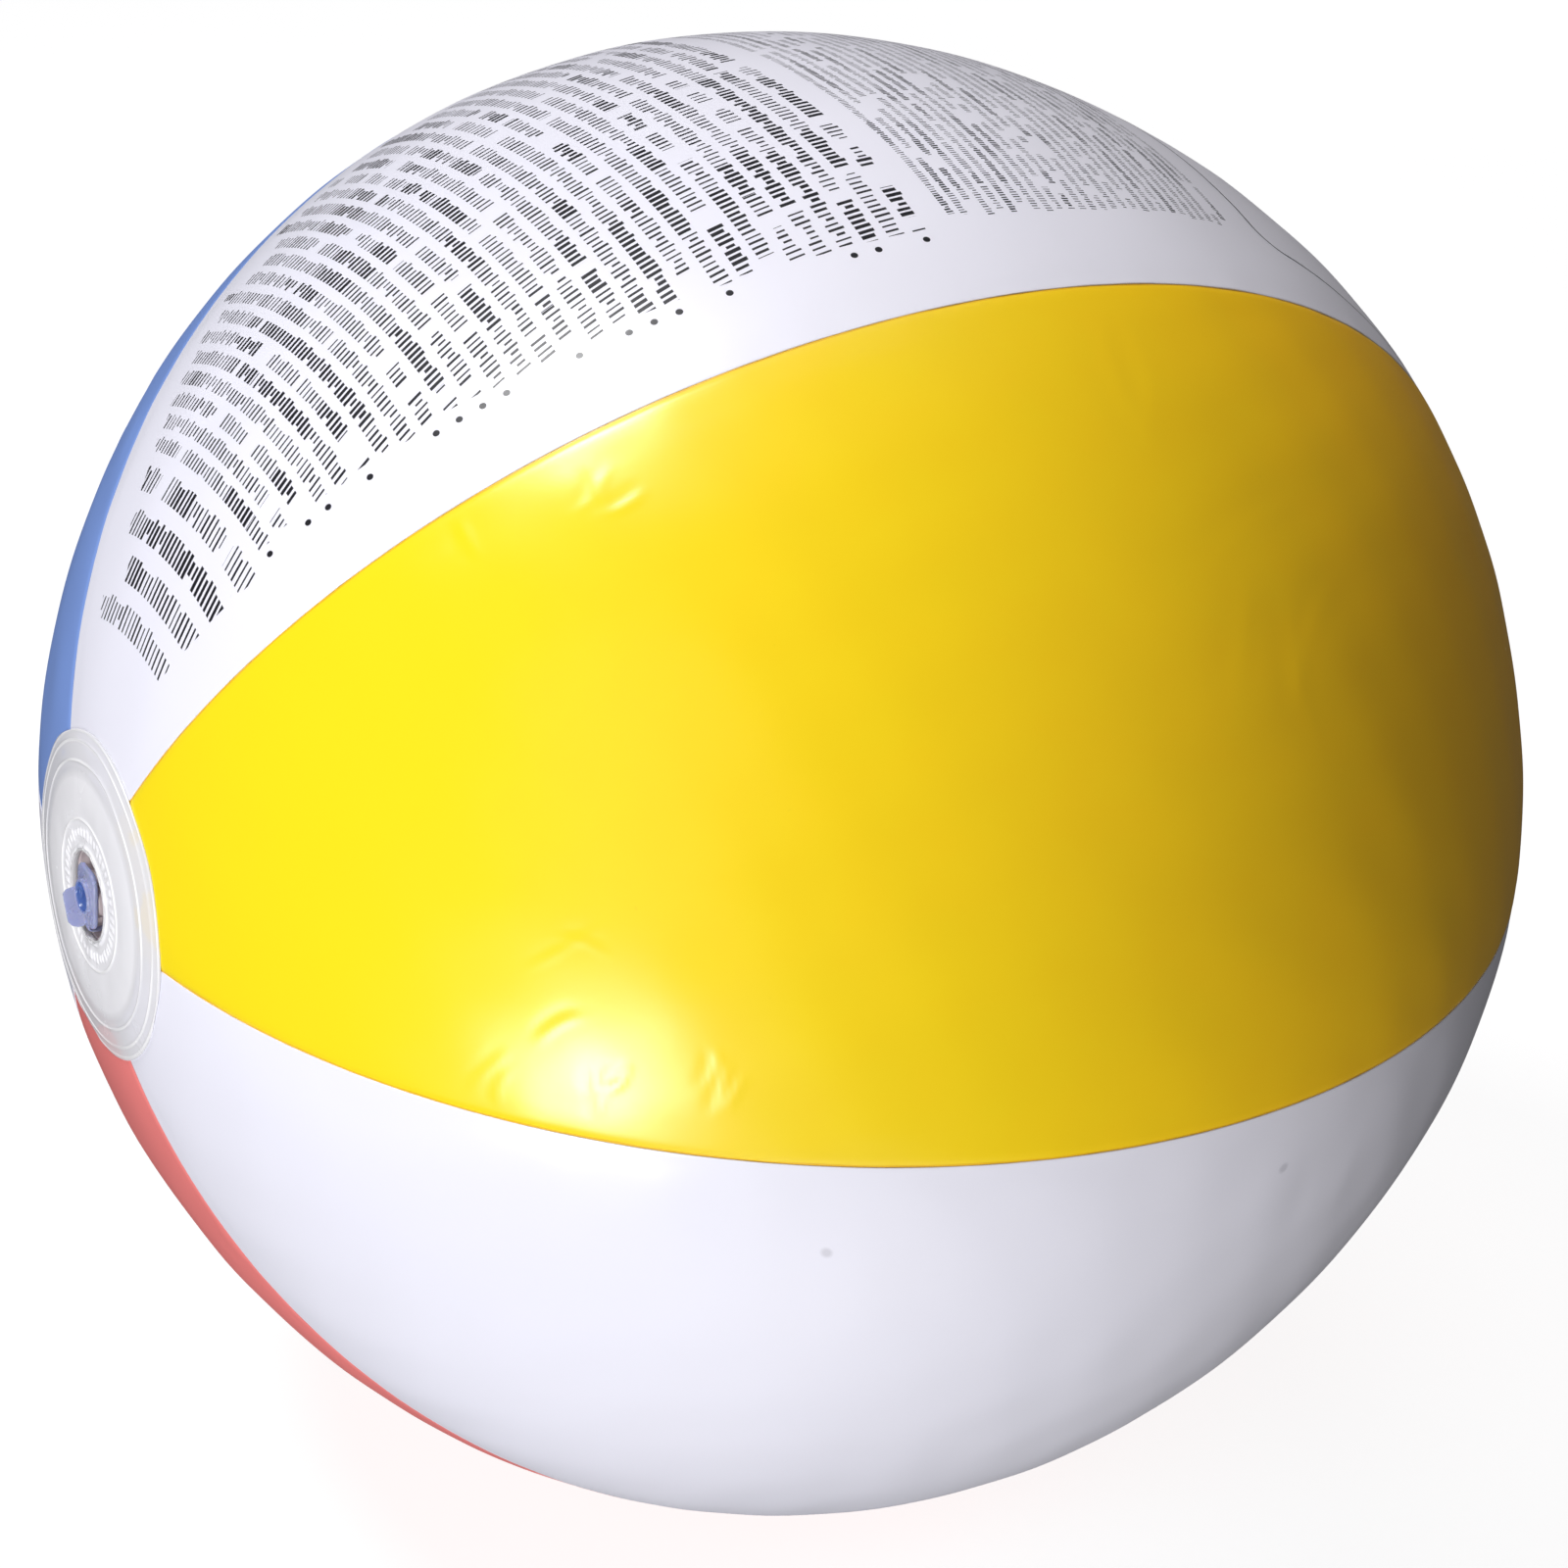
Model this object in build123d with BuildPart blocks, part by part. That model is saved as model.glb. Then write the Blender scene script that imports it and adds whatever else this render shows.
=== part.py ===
from build123d import *
import os
from math import asin, cos, degrees, radians, sin, sqrt

os.makedirs("parts", exist_ok=True)

# Frame: the ball's axis runs along X, the valve faces -X, +Z is up, and the origin is
# the middle of the small flat patch the ball rests on.

# --- Ball: six film panels, each swept about a line beyond the ball's axis, so seams stand proud ---
PANEL_COUNT = 6
PANEL_ANGLE = 360 / PANEL_COUNT
MID_RADIUS = 200.0        # outside radius at the middle of a panel, at the equator
MERIDIAN_RADIUS = 203.0   # radius of a panel's middle line between the two pole blends
SWEEP_OFFSET = 45.0       # distance of a panel's sweep line beyond the ball's axis
HALF_LENGTH = 200.5       # equator plane to the flattened pole
POLE_FLAT_RADIUS = 20.0   # flat middle of each pole
FILM = 0.3                # panel film thickness
TIP_RADIUS = 31.0         # where the panel tips are cut off, under the end discs
SWEEP_ANGLE = 52.0        # swept angle before a panel is trimmed at its seams
TRIM_REACH = 260.0        # size of the trimming wedge, larger than the ball
REST_DEPTH = 1.0          # how far the lowest panel is pressed flat on the floor
AXIS_HEIGHT = MID_RADIUS - REST_DEPTH

# Roll of each panel's middle about X, from +Z towards +Y.
WHITE_TOP_ROLL = 0.0
BLUE_ROLL = 60.0
WHITE_BACK_ROLL = 120.0
RED_ROLL = 180.0
WHITE_FRONT_ROLL = 240.0
YELLOW_ROLL = 300.0

# --- End discs, welded over the panel tips ---
DISC_FILM = 0.3
DISC_RADIUS = 42.5
DISC_SECTION_RADIUS = 50.0   # disc section before it is cut round
FACE_X = HALF_LENGTH + DISC_FILM

# --- Valve: depths run inward from the outer face of the valve end disc ---
WELL_RADIUS = 12.3
WALL = 0.5
LIP_RADIUS = 12.25
LIP_INNER_RADIUS = 11.6
LIP_HEIGHT = 0.5
FLANGE_RADIUS = 19.7
FLANGE_THICKNESS = 1.0
WEB_INNER_RADIUS = 6.3
WELL_DEPTH = 13.0
STEM_OUTER_RADIUS = 6.0
STEM_INNER_RADIUS = 4.0
STEM_TOP_DEPTH = 0.4
STEM_END_DEPTH = 18.0
SHOULDER_RADIUS = 9.0
SHOULDER_THICKNESS = 0.8
FLAP_RADIUS = 5.6
FLAP_THICKNESS = 0.4
FLAP_HINGE_HEIGHT = 4.6

# --- Stopper and its tether ---
PLUG_RADIUS = 3.97
PLUG_LENGTH = 8.0
PLUG_NOSE = 1.0
PLATE_HEIGHT = 16.0
PLATE_WIDTH = 12.4
PLATE_THICKNESS = 1.4
PLATE_CORNER = 3.4
KNOB_RADIUS = 4.8
KNOB_HEIGHT = 1.2
KNOB_ROUND = 0.5
DIMPLE_RADIUS = 3.3
DIMPLE_DEPTH = 3.0
TAB_THICKNESS = 1.2
TAB_HEIGHT = 4.6
TAB_WIDTH = 10.0
TAB_ROUND = 2.0
TAB_REACH = 5.0  # axis to the tab's inner face
TAB_SLIDE = 2.0  # tab's middle, from square across to down toward the strap
TAB_ROLL = 123.0  # degrees from +Z toward +Y
COLLAR_RADIUS = 7.4
COLLAR_DEPTH = 11.0
COLLAR_THICKNESS = 1.4
STRAP_THICKNESS = 0.8
STRAP_WIDTH = 3.0
STRAP_REACH = 10.2


def panel_frame(roll):
    """Plane with X along the ball's axis and Z out through the middle of a panel."""
    up = (0, sin(radians(roll)), cos(radians(roll)))
    return Plane(origin=(0, 0, AXIS_HEIGHT), x_dir=(1, 0, 0), z_dir=up)


def sweep_plane(frame):
    """Plane through a panel's sweep line, turned back to where the sweep starts."""
    lean = radians(-SWEEP_ANGLE / 2)
    origin = frame.from_local_coords((0, 0, -SWEEP_OFFSET))
    side = frame.y_dir * -cos(lean) + frame.z_dir * -sin(lean)
    return Plane(origin=origin, x_dir=(1, 0, 0), z_dir=side)


def pole_blend():
    """Radius and centre of the arc joining a pole's flat to the main meridian arc."""
    main_centre = MID_RADIUS - MERIDIAN_RADIUS
    rise = POLE_FLAT_RADIUS - main_centre
    room = MERIDIAN_RADIUS**2 - HALF_LENGTH**2 - rise**2
    radius = room / (2 * (MERIDIAN_RADIUS - HALF_LENGTH))
    return radius, HALF_LENGTH - radius


BLEND_RADIUS, BLEND_CENTRE = pole_blend()
MAIN_CENTRE = MID_RADIUS - MERIDIAN_RADIUS
JOIN_ANGLE = asin((POLE_FLAT_RADIUS - MAIN_CENTRE) / (MERIDIAN_RADIUS - BLEND_RADIUS))
TIP_ANGLE = asin((TIP_RADIUS - POLE_FLAT_RADIUS) / BLEND_RADIUS)
EDGE_ANGLE = asin((DISC_SECTION_RADIUS - MAIN_CENTRE) / MERIDIAN_RADIUS)


def on_blend(angle, offset, side):
    """Point on a pole blend, moved outward by offset, as axial and sweep coordinates."""
    radius = BLEND_RADIUS + offset
    height = POLE_FLAT_RADIUS + radius * sin(angle) + SWEEP_OFFSET
    return (side * (BLEND_CENTRE + radius * cos(angle)), height)


def on_main(angle, offset, side):
    """Point on the main meridian arc, moved outward by offset."""
    radius = MERIDIAN_RADIUS + offset
    return (side * radius * cos(angle), MAIN_CENTRE + radius * sin(angle) + SWEEP_OFFSET)


def meridian(offset):
    """A panel's middle line from tip to tip, as three arcs."""
    middle = (TIP_ANGLE + JOIN_ANGLE) / 2
    ends = []
    for side in (-1, 1):
        tip = on_blend(TIP_ANGLE, offset, side)
        join = on_main(JOIN_ANGLE, offset, side)
        ThreePointArc(tip, on_blend(middle, offset, side), join)
        ends.append((tip, join))
    ThreePointArc(ends[0][1], on_main(radians(90), offset, 1), ends[1][1])
    return ends[0][0], ends[1][0]


def trim_to_seams(frame):
    """Keep what lies between a panel's two seam planes."""
    reach = TRIM_REACH * cos(radians(PANEL_ANGLE / 2))
    half = TRIM_REACH * sin(radians(PANEL_ANGLE / 2))
    across = Plane(origin=frame.origin, x_dir=frame.y_dir, z_dir=frame.x_dir)
    with BuildSketch(across) as wedge:
        with BuildLine():
            Polyline((0, 0), (half, reach), (-half, reach), close=True)
        make_face()
    extrude(wedge.sketch, amount=TRIM_REACH, both=True, mode=Mode.INTERSECT)


def panel(roll):
    """One film panel from seam to seam, cut off at both tips."""
    frame = panel_frame(roll)
    start = sweep_plane(frame)
    with BuildPart() as film:
        with BuildSketch(start):
            with BuildLine():
                outer_tips = meridian(0)
                inner_tips = meridian(-FILM)
                for outer_tip, inner_tip in zip(outer_tips, inner_tips):
                    Line(outer_tip, inner_tip)
            make_face()
        revolve(axis=Axis(start.origin, (1, 0, 0)), revolution_arc=SWEEP_ANGLE)
        trim_to_seams(frame)
    return film.part


def panel_solid(roll):
    """Everything between a panel's outer surface and the ball's axis."""
    frame = panel_frame(roll)
    start = sweep_plane(frame)
    with BuildPart() as body:
        with BuildSketch(start):
            with BuildLine():
                tips = meridian(0)
                feet = [(tip[0], SWEEP_OFFSET) for tip in tips]
                Line(tips[0], feet[0])
                Line(feet[0], feet[1])
                Line(feet[1], tips[1])
            make_face()
        revolve(axis=Axis(start.origin, (1, 0, 0)), revolution_arc=SWEEP_ANGLE)
        trim_to_seams(frame)
    return body.part


def disc_sector(roll, side):
    """The part of an end disc that lies on one panel, following its surface."""
    frame = panel_frame(roll)
    start = sweep_plane(frame)
    with BuildPart() as sector:
        with BuildSketch(start):
            with BuildLine():
                edges = []
                for offset in (0, DISC_FILM):
                    middle = (side * (HALF_LENGTH + offset), SWEEP_OFFSET)
                    flat_edge = on_blend(0, offset, side)
                    join = on_main(JOIN_ANGLE, offset, side)
                    rim = on_main(EDGE_ANGLE, offset, side)
                    Line(middle, flat_edge)
                    ThreePointArc(flat_edge, on_blend(JOIN_ANGLE / 2, offset, side), join)
                    ThreePointArc(join, on_main((JOIN_ANGLE + EDGE_ANGLE) / 2, offset, side), rim)
                    edges.append((middle, rim))
                Line(edges[0][0], edges[1][0])
                Line(edges[0][1], edges[1][1])
            make_face()
        revolve(axis=Axis(start.origin, (1, 0, 0)), revolution_arc=SWEEP_ANGLE)
        trim_to_seams(frame)
    return sector.part


def depth_plane(depth):
    """Plane facing inward at a depth below the valve end disc's outer face; its Y is up."""
    return Plane(origin=(depth - FACE_X, 0, AXIS_HEIGHT), x_dir=(0, 1, 0), z_dir=(1, 0, 0))


def ring(depth, thickness, outer, inner):
    """Add a flat ring on the valve's axis."""
    with BuildSketch(depth_plane(depth)) as section:
        Circle(outer)
        Circle(inner, mode=Mode.SUBTRACT)
    extrude(section.sketch, amount=thickness)


# --- Panels ---
PANELS = {
    "panel_white_top": WHITE_TOP_ROLL,
    "panel_blue": BLUE_ROLL,
    "panel_white_back": WHITE_BACK_ROLL,
    "panel_white_front": WHITE_FRONT_ROLL,
    "panel_yellow": YELLOW_ROLL,
}
for node, roll in PANELS.items():
    film = panel(roll)
    with BuildPart() as standing_panel:
        add(film)
    standing_panel.part.label = node
    export_step(standing_panel.part, f"parts/{node}.step")

# The red panel is the lowest: its middle is pressed flat where the ball rests.
red_film = panel(RED_ROLL)
red_full = panel_solid(RED_ROLL)
with BuildPart() as pressed_patch:
    add(red_full)
    Box(2 * TRIM_REACH, 2 * TRIM_REACH, FILM, align=(Align.CENTER, Align.CENTER, Align.MIN), mode=Mode.INTERSECT)
with BuildPart() as panel_red:
    add(red_film)
    Box(2 * TRIM_REACH, 2 * TRIM_REACH, TRIM_REACH, align=(Align.CENTER, Align.CENTER, Align.MAX),
        mode=Mode.SUBTRACT)
    add(pressed_patch.part)
panel_red.part.label = "panel_red"
export_step(panel_red.part, "parts/panel_red.step")

# --- End discs ---
ROLLS = [*PANELS.values(), RED_ROLL]
valve_sectors = [disc_sector(roll, -1) for roll in ROLLS]
far_sectors = [disc_sector(roll, 1) for roll in ROLLS]

with BuildPart() as valve_disc:
    add(valve_sectors)
    with BuildSketch(depth_plane(0)):
        Circle(DISC_RADIUS)
        Circle(WELL_RADIUS, mode=Mode.SUBTRACT)
    extrude(amount=DISC_RADIUS, both=True, mode=Mode.INTERSECT)
valve_disc.part.label = "valve_disc"
export_step(valve_disc.part, "parts/valve_disc.step")

with BuildPart() as far_disc:
    add(far_sectors)
    with BuildSketch(depth_plane(2 * FACE_X)):
        Circle(DISC_RADIUS)
    extrude(amount=DISC_RADIUS, both=True, mode=Mode.INTERSECT)
far_disc.part.label = "far_disc"
export_step(far_disc.part, "parts/far_disc.step")

# --- Valve ---
FLANGE_DEPTH = DISC_FILM
WEB_DEPTH = FLANGE_DEPTH + FLANGE_THICKNESS

with BuildPart() as valve_flange:
    ring(FLANGE_DEPTH, FLANGE_THICKNESS, FLANGE_RADIUS, LIP_INNER_RADIUS)
    ring(-LIP_HEIGHT, FLANGE_DEPTH + LIP_HEIGHT, LIP_RADIUS, LIP_INNER_RADIUS)
valve_flange.part.label = "valve_flange"
export_step(valve_flange.part, "parts/valve_flange.step")

with BuildPart() as valve_web:
    ring(WEB_DEPTH, WELL_DEPTH - WEB_DEPTH, WELL_RADIUS, WELL_RADIUS - WALL)
    ring(WELL_DEPTH - WALL, WALL, WELL_RADIUS, WEB_INNER_RADIUS)
valve_web.part.label = "valve_web"
export_step(valve_web.part, "parts/valve_web.step")

with BuildPart() as valve_stem:
    ring(STEM_TOP_DEPTH, STEM_END_DEPTH - STEM_TOP_DEPTH, STEM_OUTER_RADIUS, STEM_INNER_RADIUS)
    ring(WELL_DEPTH, SHOULDER_THICKNESS, SHOULDER_RADIUS, STEM_INNER_RADIUS)
valve_stem.part.label = "valve_stem"
export_step(valve_stem.part, "parts/valve_stem.step")

with BuildPart() as check_flap:
    with BuildSketch(depth_plane(STEM_END_DEPTH)):
        Circle(FLAP_RADIUS)
        with Locations((0, FLAP_HINGE_HEIGHT)):
            Rectangle(2 * FLAP_RADIUS, FLAP_RADIUS, align=(Align.CENTER, Align.MIN), mode=Mode.SUBTRACT)
    extrude(amount=FLAP_THICKNESS)
check_flap.part.label = "check_flap"
export_step(check_flap.part, "parts/check_flap.step")

# --- Stopper: shaft, seat plate, low dished knob and an upright grip tab across one corner ---
PLATE_TOP = STEM_TOP_DEPTH - PLATE_THICKNESS
KNOB_TOP = PLATE_TOP - KNOB_HEIGHT
with BuildPart() as stopper:
    with BuildSketch(depth_plane(PLATE_TOP)):
        RectangleRounded(PLATE_WIDTH, PLATE_HEIGHT, PLATE_CORNER)
    extrude(amount=PLATE_THICKNESS)
    with BuildSketch(depth_plane(STEM_TOP_DEPTH)):
        Circle(PLUG_RADIUS)
    extrude(amount=PLUG_LENGTH)
    chamfer(stopper.faces().sort_by(Axis.X)[-1].edges(), PLUG_NOSE)
    with BuildSketch(depth_plane(KNOB_TOP)):
        Circle(KNOB_RADIUS)
    extrude(amount=KNOB_HEIGHT)
    fillet(stopper.faces().sort_by(Axis.X)[0].edges(), KNOB_ROUND)
    with BuildSketch(depth_plane(KNOB_TOP)):
        Circle(DIMPLE_RADIUS)
    extrude(amount=DIMPLE_DEPTH, mode=Mode.SUBTRACT)
    out_y, out_z = sin(radians(TAB_ROLL)), cos(radians(TAB_ROLL))
    tab_middle = (
        PLATE_TOP - FACE_X,
        TAB_REACH * out_y + TAB_SLIDE * out_z,
        AXIS_HEIGHT + TAB_REACH * out_z - TAB_SLIDE * out_y,
    )
    with BuildSketch(Plane(origin=tab_middle, x_dir=(0, -out_z, out_y), z_dir=(0, out_y, out_z))):
        RectangleRounded(TAB_WIDTH, 2 * TAB_HEIGHT, TAB_ROUND)
        Rectangle(TAB_WIDTH, TAB_HEIGHT, align=(Align.CENTER, Align.MIN), mode=Mode.SUBTRACT)
    extrude(amount=TAB_THICKNESS)
stopper.part.label = "stopper"
export_step(stopper.part, "parts/stopper.step")

# --- Tether: a collar round the stem and a strap that loops up to the seat plate ---
with BuildPart() as tether_collar:
    ring(COLLAR_DEPTH, COLLAR_THICKNESS, COLLAR_RADIUS, STEM_OUTER_RADIUS)
tether_collar.part.label = "tether_collar"
export_step(tether_collar.part, "parts/tether_collar.step")

strap_top = PLATE_TOP + PLATE_THICKNESS / 2
strap_foot = COLLAR_DEPTH + COLLAR_THICKNESS / 2
with BuildPart() as tether_strap:
    with BuildSketch(Plane(origin=(-FACE_X, -STRAP_WIDTH / 2, AXIS_HEIGHT), x_dir=(1, 0, 0), z_dir=(0, -1, 0))):
        with BuildLine():
            Polyline(
                (strap_top, -PLATE_HEIGHT / 2),
                (strap_top, -STRAP_REACH),
                (strap_foot, -STRAP_REACH),
                (strap_foot, -COLLAR_RADIUS),
            )
        trace(line_width=STRAP_THICKNESS)
    extrude(amount=-STRAP_WIDTH)
tether_strap.part.label = "tether_strap"
export_step(tether_strap.part, "parts/tether_strap.step")
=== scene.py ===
import math

import bpy
import bmesh
import numpy as np
from mathutils import Matrix, Vector


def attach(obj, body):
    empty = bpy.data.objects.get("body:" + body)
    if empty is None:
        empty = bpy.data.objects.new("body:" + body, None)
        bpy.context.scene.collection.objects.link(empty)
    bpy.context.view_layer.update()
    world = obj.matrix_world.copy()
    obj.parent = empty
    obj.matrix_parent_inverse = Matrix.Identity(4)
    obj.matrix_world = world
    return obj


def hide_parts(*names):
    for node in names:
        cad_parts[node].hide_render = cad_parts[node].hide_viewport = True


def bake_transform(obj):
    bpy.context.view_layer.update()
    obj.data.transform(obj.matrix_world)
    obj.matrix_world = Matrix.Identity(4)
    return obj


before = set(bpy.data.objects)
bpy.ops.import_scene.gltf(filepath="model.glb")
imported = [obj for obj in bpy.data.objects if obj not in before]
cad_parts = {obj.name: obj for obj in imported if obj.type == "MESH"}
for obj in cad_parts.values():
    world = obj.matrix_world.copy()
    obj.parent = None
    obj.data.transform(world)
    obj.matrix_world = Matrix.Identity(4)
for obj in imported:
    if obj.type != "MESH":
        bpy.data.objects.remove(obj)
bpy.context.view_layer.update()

# ---------------------------------------------------------------- dimensions, in metres
MM = 0.001
MID_R = 200 * MM
MERIDIAN_R = 203 * MM
HALF = 200.5 * MM
FLAT_R = 20 * MM
TIP_R = 31 * MM
FILM = 0.3 * MM
AXIS_Z = 199 * MM
DISC_R = 42.5 * MM
FACE_X = HALF + 0.3 * MM
LAP = 5 * MM
LOBE = 0.0065
SEAM = math.pi / 6
WELL_R = 12.3 * MM

MAIN_C = MID_R - MERIDIAN_R
BLEND_R = (MERIDIAN_R**2 - HALF**2 - (FLAT_R - MAIN_C) ** 2) / (2 * (MERIDIAN_R - HALF))
BLEND_X = HALF - BLEND_R
JOIN = math.asin((FLAT_R - MAIN_C) / (MERIDIAN_R - BLEND_R))
TIP = math.asin((TIP_R - FLAT_R) / BLEND_R)

ROLL = {
    "panel_white_top": 0, "panel_blue": 60, "panel_white_back": 120,
    "panel_red": 180, "panel_white_front": 240, "panel_yellow": 300,
}
WHITE_PANELS = ("panel_white_top", "panel_white_back", "panel_white_front")


# ---------------------------------------------------------------- small mesh helpers
def mesh_object(name, verts, faces, uv_layers=None, smooth=True):
    """A mesh object; uv_layers maps a layer name to one (u, v) per vertex."""
    mesh = bpy.data.meshes.new(name)
    mesh.from_pydata([tuple(v) for v in verts], [], [tuple(int(i) for i in f) for f in faces])
    mesh.validate()
    loops = np.empty(len(mesh.loops), int)
    mesh.loops.foreach_get("vertex_index", loops)
    for layer, uv in (uv_layers or {}).items():
        data = mesh.uv_layers.new(name=layer)
        data.data.foreach_set("uv", np.asarray(uv, float)[loops].ravel())
    if smooth:
        mesh.polygons.foreach_set("use_smooth", [True] * len(mesh.polygons))
    obj = bpy.data.objects.new(name, mesh)
    bpy.context.scene.collection.objects.link(obj)
    return obj


def grid_faces(rows, cols, start=0, flip=False, wrap=False):
    """Quads over a rows by cols block of vertices."""
    i, j = np.meshgrid(np.arange(rows - 1), np.arange(cols if wrap else cols - 1), indexing="ij")
    k = (j + 1) % cols
    corners = [i * cols + j, i * cols + k, (i + 1) * cols + k, (i + 1) * cols + j]
    quads = np.stack(corners, -1).reshape(-1, 4) + start
    return quads[:, ::-1] if flip else quads


def rim(rows, cols):
    """The border of a rows by cols grid, in order."""
    first = list(range(cols))
    right_side = [i * cols + cols - 1 for i in range(1, rows)]
    last = [(rows - 1) * cols + j for j in range(cols - 2, -1, -1)]
    left_side = [i * cols for i in range(rows - 2, 0, -1)]
    return first + right_side + last + left_side


def smooth_noise(x, y, seed, waves=14, low=1.0, high=4.0):
    """A smooth random field of a few sine waves, the same on every run."""
    rng = np.random.default_rng(seed)
    out = np.zeros(np.broadcast(x, y).shape)
    for _ in range(waves):
        turn = rng.uniform(0, 2 * np.pi)
        pitch = rng.uniform(low, high)
        phase = rng.uniform(0, 2 * np.pi)
        out += np.sin(2 * np.pi * pitch * (x * np.cos(turn) + y * np.sin(turn)) + phase)
    return out / math.sqrt(waves)


# ---------------------------------------------------------------- the ball's surface
def meridian(alpha):
    """Axial place, sweep height and normal of a panel's middle line; alpha is 0 at +X."""
    folded = np.where(alpha > np.pi / 2, np.pi - alpha, alpha)
    side = np.where(alpha > np.pi / 2, -1.0, 1.0)
    blend = folded < JOIN
    x = np.where(blend, BLEND_X + BLEND_R * np.cos(folded), MERIDIAN_R * np.cos(folded))
    r = np.where(blend, FLAT_R + BLEND_R * np.sin(folded), MAIN_C + MERIDIAN_R * np.sin(folded))
    return side * x, r, side * np.cos(folded), np.sin(folded)


def along(alpha):
    """Arc length from the valve's tip, in metres."""
    back = np.pi - alpha
    near = np.minimum(back, JOIN) * BLEND_R
    far = np.maximum(back - JOIN, 0) * MERIDIAN_R
    return near + far - TIP * BLEND_R


def section_swell(delta):
    """Radius of the inflated cross-section over its mid-panel radius; it rises a little to each seam."""
    return 1 + LOBE * (1 - np.cos(6 * delta))


def film_point(alpha, delta, lift):
    """A panel-frame point: alpha along the meridian, delta the roll from mid-panel, lift off the film."""
    def base(a, d):
        x, r, _, _ = meridian(a)
        r = r * section_swell(d)
        return np.stack([x, r * np.sin(d), r * np.cos(d)], -1)

    tiny = 1e-4
    along_meridian = base(alpha - tiny, delta) - base(alpha + tiny, delta)
    around = base(alpha, delta + tiny) - base(alpha, delta - tiny)
    normal = np.cross(along_meridian, around)
    normal /= np.linalg.norm(normal, axis=-1, keepdims=True)
    here = base(alpha, delta)
    outward = np.sign(np.sum(normal * here, -1, keepdims=True))
    return here + normal * outward * lift[..., None]


def to_world(x, y, z, roll):
    """From a panel's own frame, where z is out through its middle, to the row frame."""
    b = math.radians(roll)
    return np.stack([x, y * math.cos(b) + z * math.sin(b), AXIS_Z - y * math.sin(b) + z * math.cos(b)], -1)


FOLD_SEED = 40
FOLD_GROUPS = {
    # middle of the group in degrees along the meridian and of roll, its spread in degrees, how many folds,
    # then their length, width and height in mm and the direction they lean towards, in degrees
    "panel_yellow": [
        (133, 26, 1, 2, 7, 1.2, 0.14, 70), (124, 24, 1.5, 3, 8, 1.1, 0.14, 60),
        (132, -11, 1.5, 2, 14, 1.0, 0.07, 5), (133, -19, 1, 1, 14, 1.2, 0.14, 25),
        (132, -26, 2.5, 6, 5, 1.0, 0.12, 40), (123, -23, 1.5, 3, 9, 1.1, 0.17, 90),
        (138, -25, 2, 2, 9, 1.2, 0.10, 60), (86, 24, 3, 2, 26, 2.4, 0.05, 85),
        (95, 3, 20, 4, 32, 2.6, 0.04, 50), (150, 6, 6, 2, 22, 2.2, 0.04, 80),
    ],
    "panel_white_front": [
        (139, 20, 3, 2, 13, 1.6, 0.06, 30), (115, 17, 6, 3, 22, 2.2, 0.04, 10),
        (85, 2, 20, 4, 30, 2.6, 0.04, 80), (128, -12, 4, 2, 24, 2.2, 0.04, 20),
    ],
    "panel_white_top": [(125, -28, 1.5, 3, 7, 1.4, 0.08, 10), (66, 0, 12, 3, 30, 2.6, 0.04, 70)],
    "panel_red": [
        (149, 25, 3, 3, 13, 1.7, 0.10, 50), (114, 16, 5, 2, 24, 2.4, 0.05, 15),
        (92, -4, 18, 4, 34, 2.8, 0.04, 80),
    ],
    "panel_blue": [(138, -17, 4, 2, 18, 2.0, 0.06, 50), (82, 4, 20, 4, 28, 2.6, 0.05, 70)],
    "panel_white_back": [(130, 10, 6, 2, 24, 2.4, 0.04, 60), (82, 2, 18, 4, 26, 2.4, 0.04, 60)],
}


def folds(node):
    """The folds of one panel, each group scattered round its middle."""
    rng = np.random.default_rng(FOLD_SEED + list(ROLL).index(node))
    found = []
    for along_deg, roll_deg, spread, count, length, width, height, lean in FOLD_GROUPS[node]:
        for _ in range(count):
            shift = spread * rng.uniform(-1, 1, 2)
            size = rng.uniform(0.7, 1.3)
            turn = lean + rng.uniform(-40, 40)
            bend = rng.uniform(-0.5, 0.5) / (size * length)
            place = (along_deg + shift[0], roll_deg + shift[1])
            found.append((*place, size * length, width, height, turn, bend))
    return found


def crease_height(node, u, v):
    """Small folds left in the film: a ridge with a shallow dent beside it."""
    out = np.zeros(u.shape)
    for a_deg, roll_deg, length, width, height, turn, bend in folds(node):
        a0 = math.radians(a_deg)
        r0 = float(meridian(np.array(a0))[1])
        u0 = float(along(np.array(a0)))
        v0 = r0 * math.radians(roll_deg)
        du, dv = (u - u0) / MM, (v - v0) / MM
        t = math.radians(turn)
        p = du * math.cos(t) + dv * math.sin(t)
        q = -du * math.sin(t) + dv * math.cos(t) - bend * p**2
        reach = np.exp(-((p / (0.55 * length)) ** 4))
        ridge = np.exp(-((q / width) ** 2))
        dent = np.exp(-(((q - 1.9 * width) / (1.5 * width)) ** 2))
        out += height * MM * reach * (ridge - 0.7 * dent)
    return out


# Columns this far from a seam, in mm, stay at that distance; past them the rest share what is left.
EDGE_COLUMNS = [0, 0.12, 0.3, 0.6, 1.0, 1.6, 2.4, 3.4, 4.6, 6.0, 7.6, 9.4]
LAP_COLUMNS = [-LAP / MM, -3.5, -1.5, -0.5]
FIRST_FREE_COLUMN = 11.2
INNER_STRIDE = 4


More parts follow.
